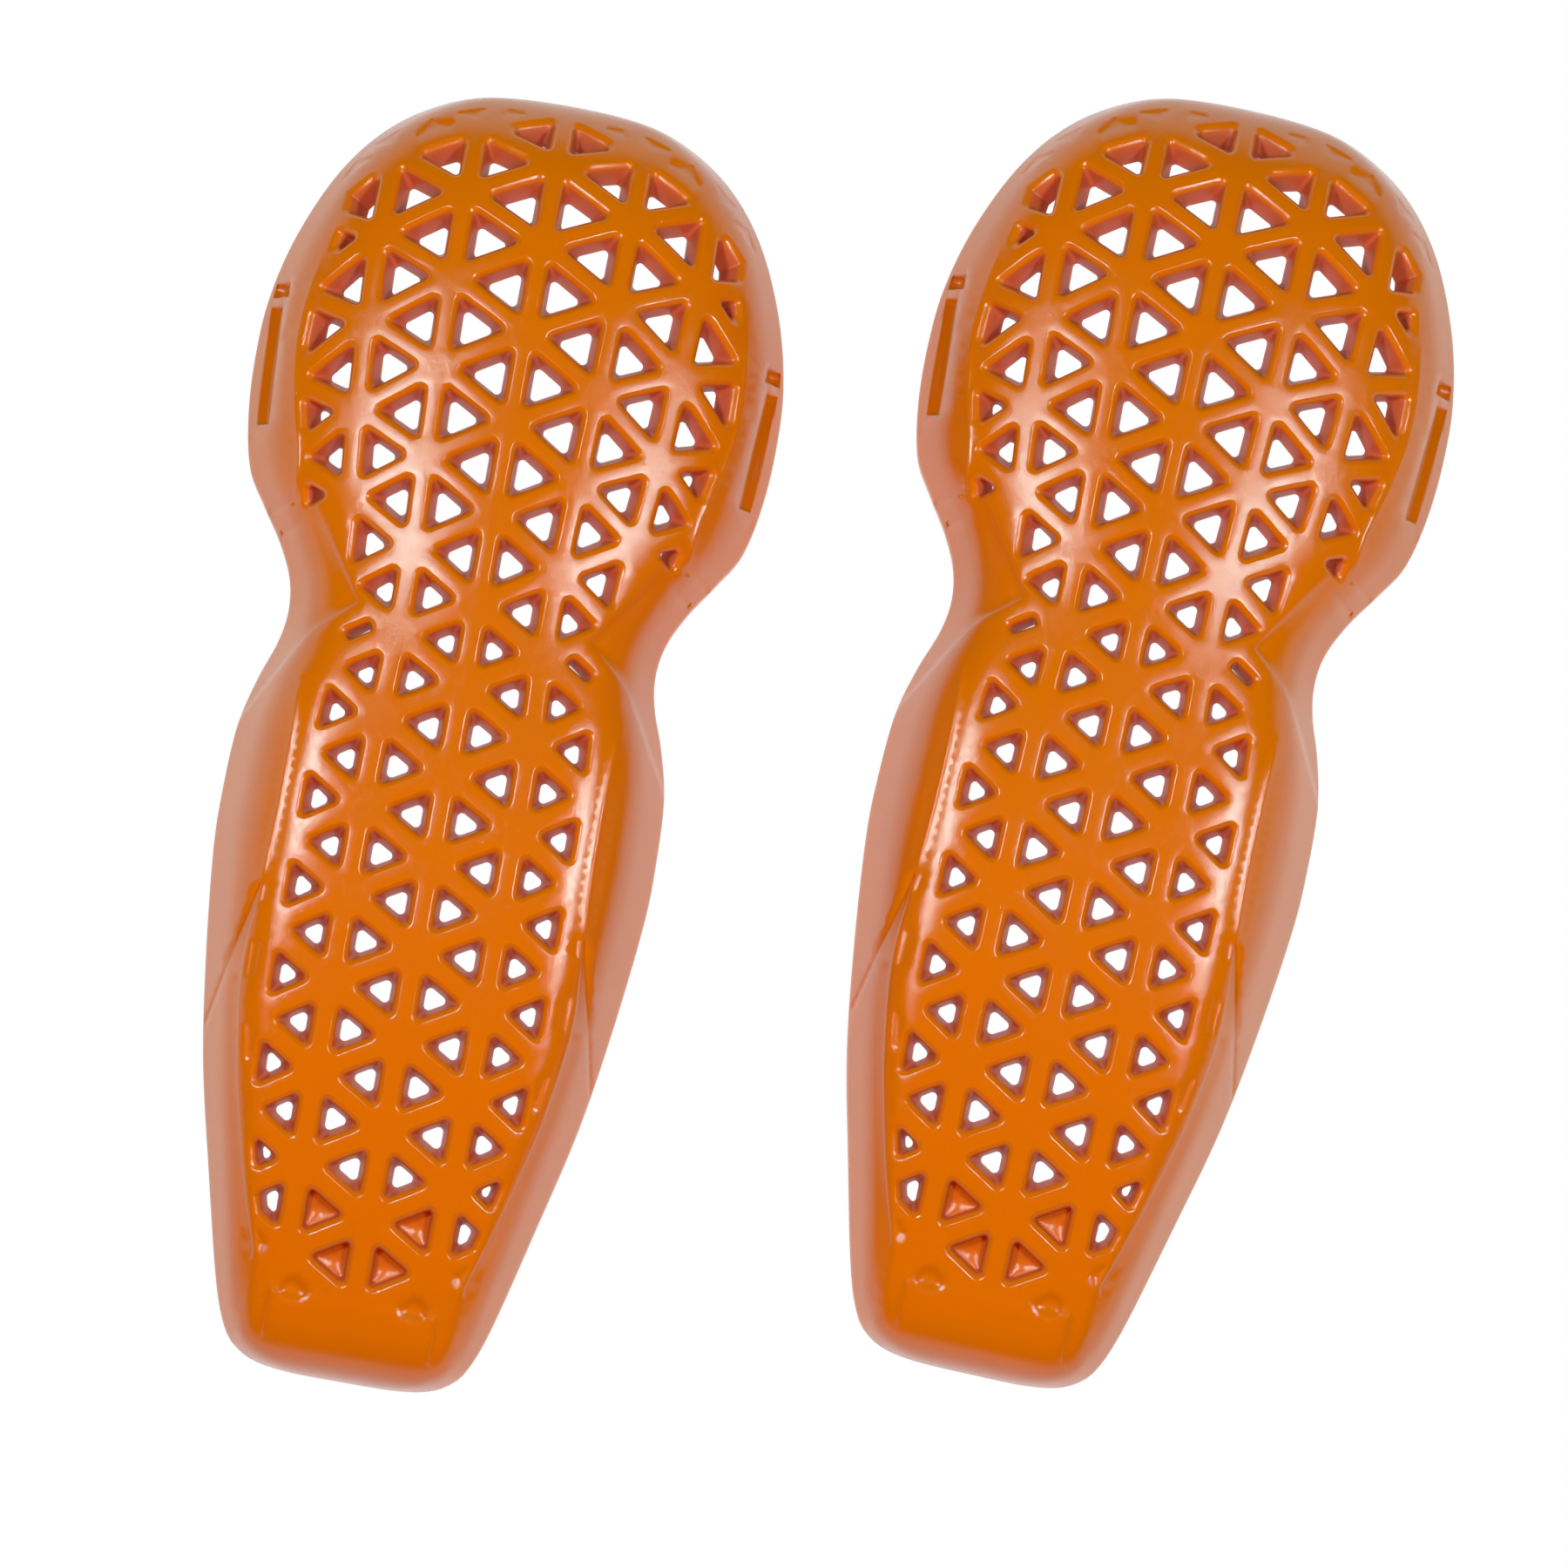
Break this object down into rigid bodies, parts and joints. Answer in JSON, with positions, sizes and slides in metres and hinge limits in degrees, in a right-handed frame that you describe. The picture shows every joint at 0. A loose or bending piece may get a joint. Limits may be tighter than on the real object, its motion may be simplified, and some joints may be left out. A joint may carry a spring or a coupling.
{
  "type": "knee and shin pad pair",
  "caption": "Pair of moulded orange knee-and-shin pads: a vented bowl for the knee, a waist that bends and a vented channel for the shin.",
  "frame": {"origin": "on the ground under the middle of the pair's bounding box", "axes": "+Z away from the leg, out of the pads' domed faces; +Y along the pads from the shin towards the knee; +X from the left pad to the right pad"},
  "size_m": [0.362, 0.4372, 0.0515],
  "materials": {
    "orange_elastomer": "satin, finely grained"
  },
  "bodies": {
    "left_shin": {"left_shin_guard": "orange_elastomer", "left_flex_web": "orange_elastomer"},
    "left_knee": {"left_knee_cup": "orange_elastomer"},
    "right_shin": {"right_shin_guard": "orange_elastomer", "right_flex_web": "orange_elastomer"},
    "right_knee": {"right_knee_cup": "orange_elastomer"}
  },
  "joints": [
    {"name": "left_knee_flex", "type": "hinge", "parent": "left_shin", "child": "left_knee", "pos_m": [-0.09855, 0.00912, 0.034], "axis": [-0.9998, -0.0218, 0], "range_deg": [-25, 0], "stiffness_Nm_per_rad": 4, "deforming": ["left_flex_web"]},
    {"name": "right_knee_flex", "type": "hinge", "parent": "right_shin", "child": "right_knee", "pos_m": [0.09855, 0.04912, 0.034], "axis": [-0.9998, 0.0218, 0], "range_deg": [-25, 0], "stiffness_Nm_per_rad": 4, "deforming": ["right_flex_web"]},
    {"name": "right_pad_lift", "type": "slide", "parent": "left_shin", "child": "right_shin", "axis": [0, 0, 1], "range_m": [0, 0.12]}
  ]
}
